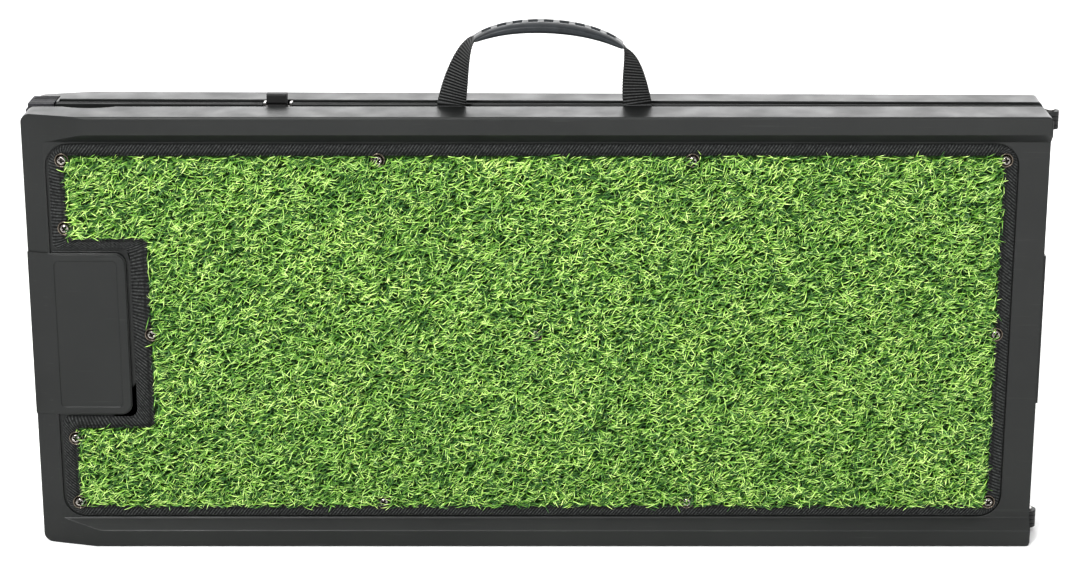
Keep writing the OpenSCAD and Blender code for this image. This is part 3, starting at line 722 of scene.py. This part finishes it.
def studs(name, section, recessed, material, prefix, place, flip):
    """The same turned piece at every deck screw, with a cross recess in a screw head."""
    turn = 2 * math.pi * np.arange(STUD_SIDES) / STUD_SIDES
    flat = section[None, :, 0] * np.stack([np.cos(turn), np.sin(turn)])[..., None]
    points, marks, polys = [], [], []
    grid = grid_polys(STUD_SIDES, len(section), True)
    for n, (x, z) in enumerate(SCREWS):
        spin = 0.4 + 1.1 * n
        if recessed:
            c, s = math.cos(spin), math.sin(spin)
            recess = cross_recess(c * flat[0] + s * flat[1], c * flat[1] - s * flat[0])
            recess[:, RECESS_TOP:] = 0
            depth = RECESS_DEPTH * recess
        else:
            # A washer has no recess: its recess marks are painted shade in its cup.
            recess = np.tile(WASHER_PAINTED_SHADE, (STUD_SIDES, 1))
            depth = np.zeros_like(recess)
        y = TAPE_TOP - (section[None, :, 1] - depth)
        points.append(np.stack([x + flat[0], y, MID_Z + z + flat[1]], -1).reshape(-1, 3))
        marks.append(recess.ravel())
        polys.append(grid + n * flat[0].size)
    polys = np.concatenate(polys)
    obj = mesh_object(
        f"{prefix}_{name}", place(np.concatenate(points)), polys[:, ::-1] if flip else polys,
        material)
    # The recess marks paint shade: in the heads' cross recesses, and on the washers' inner part.
    mark(obj, "recess", np.concatenate(marks))
    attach(obj, f"{prefix}_half")
    return obj


for prefix, place, flip in (("front", on_front, False), ("rear", on_rear, True)):
    turf(prefix, f"{prefix}_half", place)
    binding(prefix, f"{prefix}_half", place, flip)
    heads = studs(
        "screw_heads", HEAD_SECTION, True, SLOT_MATERIALS["dark_steel"], prefix, place, flip)
    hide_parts(f"{prefix}_deck_screws")
    cups = studs("cup_washers", WASHER_SECTION, False, WASHER_STEEL, prefix, place, flip)
    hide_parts(f"{prefix}_deck_washers")

# ---- Carry handle ----

LEG_BASE = (-75.0, 91.0)
GRIP_TIP = (np.array([-54.0, 61.0]), np.array([77.0, 55.0]))
CROWN = 72.0
PIVOT_LIFT = 1.5
STRAP_WIDTH = 25.4
STRAP_THICK = 1.7
RIB_PITCH = 2.6
RIB_STEPS = 6
RIB_DEPTH = 0.36
EDGE_WAVE = 0.03
TAIL_DEPTH = 20
LEG_RISE = (3.7, 19)  # from a leg's base to its curve's handle, inwards and up
GRIP_ENTRY = (11, 5.5)  # from the grip's tip back to the curve's handle
TURN_EASE = 0.88
CREST_LIFT = 1.0
SMOOTHINGS = 6
# Across the strap: places from edge to edge, and the share of its thickness there
STRAP_ACROSS = np.array([-1, -0.97, -0.86, -0.5, -0.17, 0.17, 0.5, 0.86, 0.97, 1])
STRAP_FULLNESS = np.array([0.35, 0.85, 1, 1, 1, 1, 1, 1, 0.85, 0.35])


def leg_curve(side, u):
    """A leg of the strap, from the long side to the grip's tip."""
    base = np.array([LEG_BASE[side], PIVOT_LIFT])
    tip = GRIP_TIP[side]
    inward = 1 if side == 0 else -1
    rise = base + (inward * LEG_RISE[0], LEG_RISE[1])
    enter = tip + (-inward * GRIP_ENTRY[0], -GRIP_ENTRY[1])
    v = 1 - u
    return ((v ** 3)[:, None] * base + (3 * v * v * u)[:, None] * rise
            + (3 * v * u * u)[:, None] * enter + (u ** 3)[:, None] * tip)


def grip_curve(u):
    """The grip's centre line, an arch between its tips."""
    a, b = GRIP_TIP
    sag = CROWN - (a[1] + b[1]) / 2
    lift = sag * 4 * u * (1 - u) * (1 + 0.25 * (2 * u - 1) ** 2)
    return a + u[:, None] * (b - a) + np.stack([0 * u, lift], -1)


def strap_line():
    """The strap's centre line (x, height above the long side) and its turn in degrees."""
    down = np.linspace(-TAIL_DEPTH, PIVOT_LIFT, 40)[:-1]
    legs, turns = [], []
    for side in (0, 1):
        u = np.linspace(0, 1, 160)
        leg = leg_curve(side, u)
        tail = np.stack([np.full(len(down), LEG_BASE[side]), down], -1)
        legs.append(np.concatenate([tail, leg]))
        turns.append(np.concatenate([np.zeros(len(down)), 90 * u ** TURN_EASE]))
    u = np.linspace(0, 1, 260)[1:-1]
    crown = grip_curve(u)
    crown[:, 1] += CREST_LIFT * np.sin(math.pi * u) ** 0.5
    line = np.concatenate([legs[0], crown, legs[1][::-1]])
    turn = np.concatenate([turns[0], np.full(len(crown), 90.0), turns[1][::-1]])
    return line, turn


def resample(line, turn, step):
    """The line and its turn at equal steps, and the distance along it."""
    gaps = np.linalg.norm(np.diff(line, axis=0), axis=1)
    s = np.concatenate([[0], np.cumsum(gaps)])
    t = np.arange(0, s[-1], step)
    return (np.stack([np.interp(t, s, line[:, 0]), np.interp(t, s, line[:, 1])], -1),
            np.interp(t, s, turn), t)


def strap():
    """One continuous ribbed strap: tail, leg, crown under the grip, leg and tail."""
    line, turn, s = resample(*strap_line(), RIB_PITCH / RIB_STEPS)
    for _ in range(SMOOTHINGS):
        line[1:-1] = (line[:-2] + 2 * line[1:-1] + line[2:]) / 4
        turn[1:-1] = (turn[:-2] + 2 * turn[1:-1] + turn[2:]) / 4
    along = np.gradient(line, axis=0)
    along /= np.linalg.norm(along, axis=1)[:, None]
    t = -np.radians(turn)
    # Across the strap at no turn, always towards +x, so that the far leg isn't turned over
    flip = np.where(np.arange(len(s)) < len(s) / 2, 1.0, -1.0)
    perp = np.stack([along[:, 1], -along[:, 0]], -1) * flip[:, None]
    w = np.stack([perp[:, 0] * np.cos(t), np.sin(t), perp[:, 1] * np.cos(t)], -1)
    n = np.stack([-perp[:, 0] * np.sin(t), np.cos(t), -perp[:, 1] * np.sin(t)], -1)
    n *= flip[:, None]
    rib = 0.5 - 0.5 * np.cos(2 * math.pi * s / RIB_PITCH)
    half = STRAP_THICK / 2 - RIB_DEPTH * (1 - rib)
    edge = 1 + EDGE_WAVE * (rib - 0.5)
    wide = w[:, None] * (STRAP_ACROSS[None, :, None] * edge[:, None, None]) * STRAP_WIDTH / 2
    thick = n[:, None] * (STRAP_FULLNESS[None, :] * half[:, None])[..., None]
    top, bottom = wide + thick, (wide - thick)[:, ::-1]
    centre = np.stack([line[:, 0], np.full(len(s), AXIS_Y), line[:, 1] + HALF_WIDTH], -1)
    rings = centre[:, None] + np.concatenate([top, bottom], 1)
    obj = capped_tube("handle_strap", rings, SLOT_MATERIALS["webbing"])
    # The rib marks paint shade in the grooves between the strap's ribs.
    mark(obj, "rib", np.repeat(rib[:, None], rings.shape[1], 1))
    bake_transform(obj)
    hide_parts("handle_webbing", "handle_tails")


SLOTS = 9
SLOT_SPAN = 0.93  # of the grip's length
SLOT_HALF_LENGTH = 0.31  # of a slot's own share of the span
SLOT_HALF_WIDTH = 4.6
SLOT_DEPTH = 3.4
SLOT_EASE = (0.06, 1.0)  # widths of the slots' soft edges, lengthwise and across
LIP_AT, LIP_WIDTH, LIP_HEIGHT = 6.4, 0.7, 0.25
GRIP_SIDES = 56
# Half height and half width at the grip's ends, and what its middle adds
GRIP_TALL = (1.6, 3.5)
GRIP_WIDE = (12.6, 1.4)
GRIP_SQUARENESS = (0.62, 0.72)


def grip():
    """Arched rubber grip with a row of slots along its crown."""
    u = 0.5 - 0.5 * np.cos(np.linspace(0.02, math.pi - 0.02, 60))
    u = np.unique(np.concatenate([u, np.linspace(0.02, 0.98, 230)]))
    line = grip_curve(u)
    along = np.gradient(line, u, axis=0)
    along /= np.linalg.norm(along, axis=1)[:, None]
    up = np.stack([-along[:, 1], along[:, 0]], -1)
    swell = np.sqrt(np.clip(4 * u * (1 - u), 0, 1))
    tall = GRIP_TALL[0] + GRIP_TALL[1] * swell
    wide = GRIP_WIDE[0] + GRIP_WIDE[1] * swell
    a = 2 * math.pi * np.arange(GRIP_SIDES) / GRIP_SIDES
    cy = np.sign(np.cos(a)) * abs(np.cos(a)) ** GRIP_SQUARENESS[0]
    ch = np.sign(np.sin(a)) * abs(np.sin(a)) ** GRIP_SQUARENESS[1]
    y = wide[:, None] * cy[None, :]
    h = tall[:, None] * ch[None, :]
    travel = (u - 0.5) * SLOTS / SLOT_SPAN
    cell = travel - np.round(travel)
    upper = (ch > 0.2)[None, :]
    lengthwise = smooth_step((SLOT_HALF_LENGTH - abs(cell)) / SLOT_EASE[0])
    lengthwise = lengthwise * (abs(travel) < SLOTS / 2)
    breadth = smooth_step((SLOT_HALF_WIDTH - abs(y)) / SLOT_EASE[1]) * upper
    h = h - SLOT_DEPTH * np.minimum(1, tall / 4.2)[:, None] * lengthwise[:, None] * breadth
    h = h + LIP_HEIGHT * np.exp(-((abs(y) - LIP_AT) / LIP_WIDTH) ** 2) * upper
    rings = np.stack([
        line[:, None, 0] + up[:, None, 0] * h,
        AXIS_Y + y,
        line[:, None, 1] + up[:, None, 1] * h + HALF_WIDTH,
    ], -1)
    obj = capped_tube("handle_grip_rubber", rings, SLOT_MATERIALS["grip_rubber"])
    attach(obj, "handle")
    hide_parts("handle_grip")


strap()
grip()

# ---- Edges of the CAD nodes ----

SOFTENED = {
    "latch_bracket": 0.25,
    "latch_tab": 0.3,
    "handle_anchor_plates": 0.4,
}
for prefix in ("front", "rear"):
    for level in ("upper", "lower"):
        SOFTENED[f"{prefix}_foot_{level}"] = 0.3
        SOFTENED[f"{prefix}_hinge_leaf_{level}"] = 0.4

for name, width in SOFTENED.items():
    bevel = frame["nodes"][name].modifiers.new("soften", "BEVEL")
    bevel.width = width * MM
    bevel.segments = 2
    bevel.limit_method = "ANGLE"
    bevel.angle_limit = math.radians(35)

# ---- Stage ----

FLOOR_HALF_SIZE = 7.0
FLOOR_POINTS = 24


def floor():
    """A plain pale floor, as a square grid."""
    line = np.linspace(-FLOOR_HALF_SIZE, FLOOR_HALF_SIZE, FLOOR_POINTS)
    xy = np.stack(np.meshgrid(line, line, indexing="ij"), -1).reshape(-1, 2)
    points = np.concatenate([xy, np.zeros((len(xy), 1))], 1)
    cells = np.arange(FLOOR_POINTS - 1)
    i, j = np.meshgrid(cells, cells, indexing="ij")
    a = (i * FLOOR_POINTS + j).ravel()
    polys = np.stack([a, a + FLOOR_POINTS, a + FLOOR_POINTS + 1, a + 1], -1)
    f = Finish("floor", 0.7, specular=0.2)
    f.colour(f.ramp(f.noise(3, 2), [(0.3, (0.93, 0.93, 0.93)), (0.7, (0.95, 0.95, 0.95))]))
    obj = mesh_object("floor", points, polys, f.mat)


def area_light(name, location, target, size, watts):
    """A soft rectangular light turned to a target, unseen by the camera."""
    data = bpy.data.lights.new(name, "AREA")
    data.shape = "RECTANGLE"
    data.size, data.size_y = size
    data.energy = watts
    light = bpy.data.objects.new(name, data)
    scene.collection.objects.link(light)
    light.location = location
    aim = Vector(target) - Vector(location)
    light.rotation_euler = aim.to_track_quat("-Z", "Y").to_euler()
    light.visible_camera = False


def world():
    """A white room: brighter above and behind, and brightest of all to the camera."""
    data = bpy.data.worlds.new("world")
    scene.world = data
    data.use_nodes = True
    nodes, links = data.node_tree.nodes, data.node_tree.links
    nodes.clear()
    seen, lit = nodes.new("ShaderNodeBackground"), nodes.new("ShaderNodeBackground")
    seen.inputs["Strength"].default_value = 1.1
    coords, split = nodes.new("ShaderNodeTexCoord"), nodes.new("ShaderNodeSeparateXYZ")
    links.new(coords.outputs["Generated"], split.inputs["Vector"])
    back, high = nodes.new("ShaderNodeMapRange"), nodes.new("ShaderNodeMapRange")
    total = nodes.new("ShaderNodeMath")
    for node, axis, low, peak in ((back, "Y", 0.0, 0.75), (high, "Z", 0.24, 0.35)):
        links.new(split.outputs[axis], node.inputs["Value"])
        for socket, value in (("From Min", 0), ("To Min", low), ("To Max", low + peak)):
            node.inputs[socket].default_value = value
    links.new(back.outputs["Result"], total.inputs[0])
    links.new(high.outputs["Result"], total.inputs[1])
    links.new(total.outputs["Value"], lit.inputs["Strength"])
    for node in (seen, lit):
        node.inputs["Color"].default_value = (1, 1, 1, 1)
    path, mix = nodes.new("ShaderNodeLightPath"), nodes.new("ShaderNodeMixShader")
    out = nodes.new("ShaderNodeOutputWorld")
    links.new(path.outputs["Is Camera Ray"], mix.inputs["Fac"])
    links.new(lit.outputs["Background"], mix.inputs[1])
    links.new(seen.outputs["Background"], mix.inputs[2])
    links.new(mix.outputs["Shader"], out.inputs["Surface"])


floor()
world()
scene.view_settings.view_transform = "Standard"
scene.view_settings.look = "Medium High Contrast"
middle = (0, 0, 0.22)
area_light("top_light", (0, 0.2, 3.0), middle, (4.0, 2.6), 38)
area_light("back_light", (0, 4.2, 1.3), middle, (8.0, 2.4), 122)
area_light("key_light", (-1.1, -2.9, 2.4), middle, (0.8, 0.6), 125)
area_light("fill_light", (1.5, -3.3, 0.9), middle, (2.4, 1.6), 34)
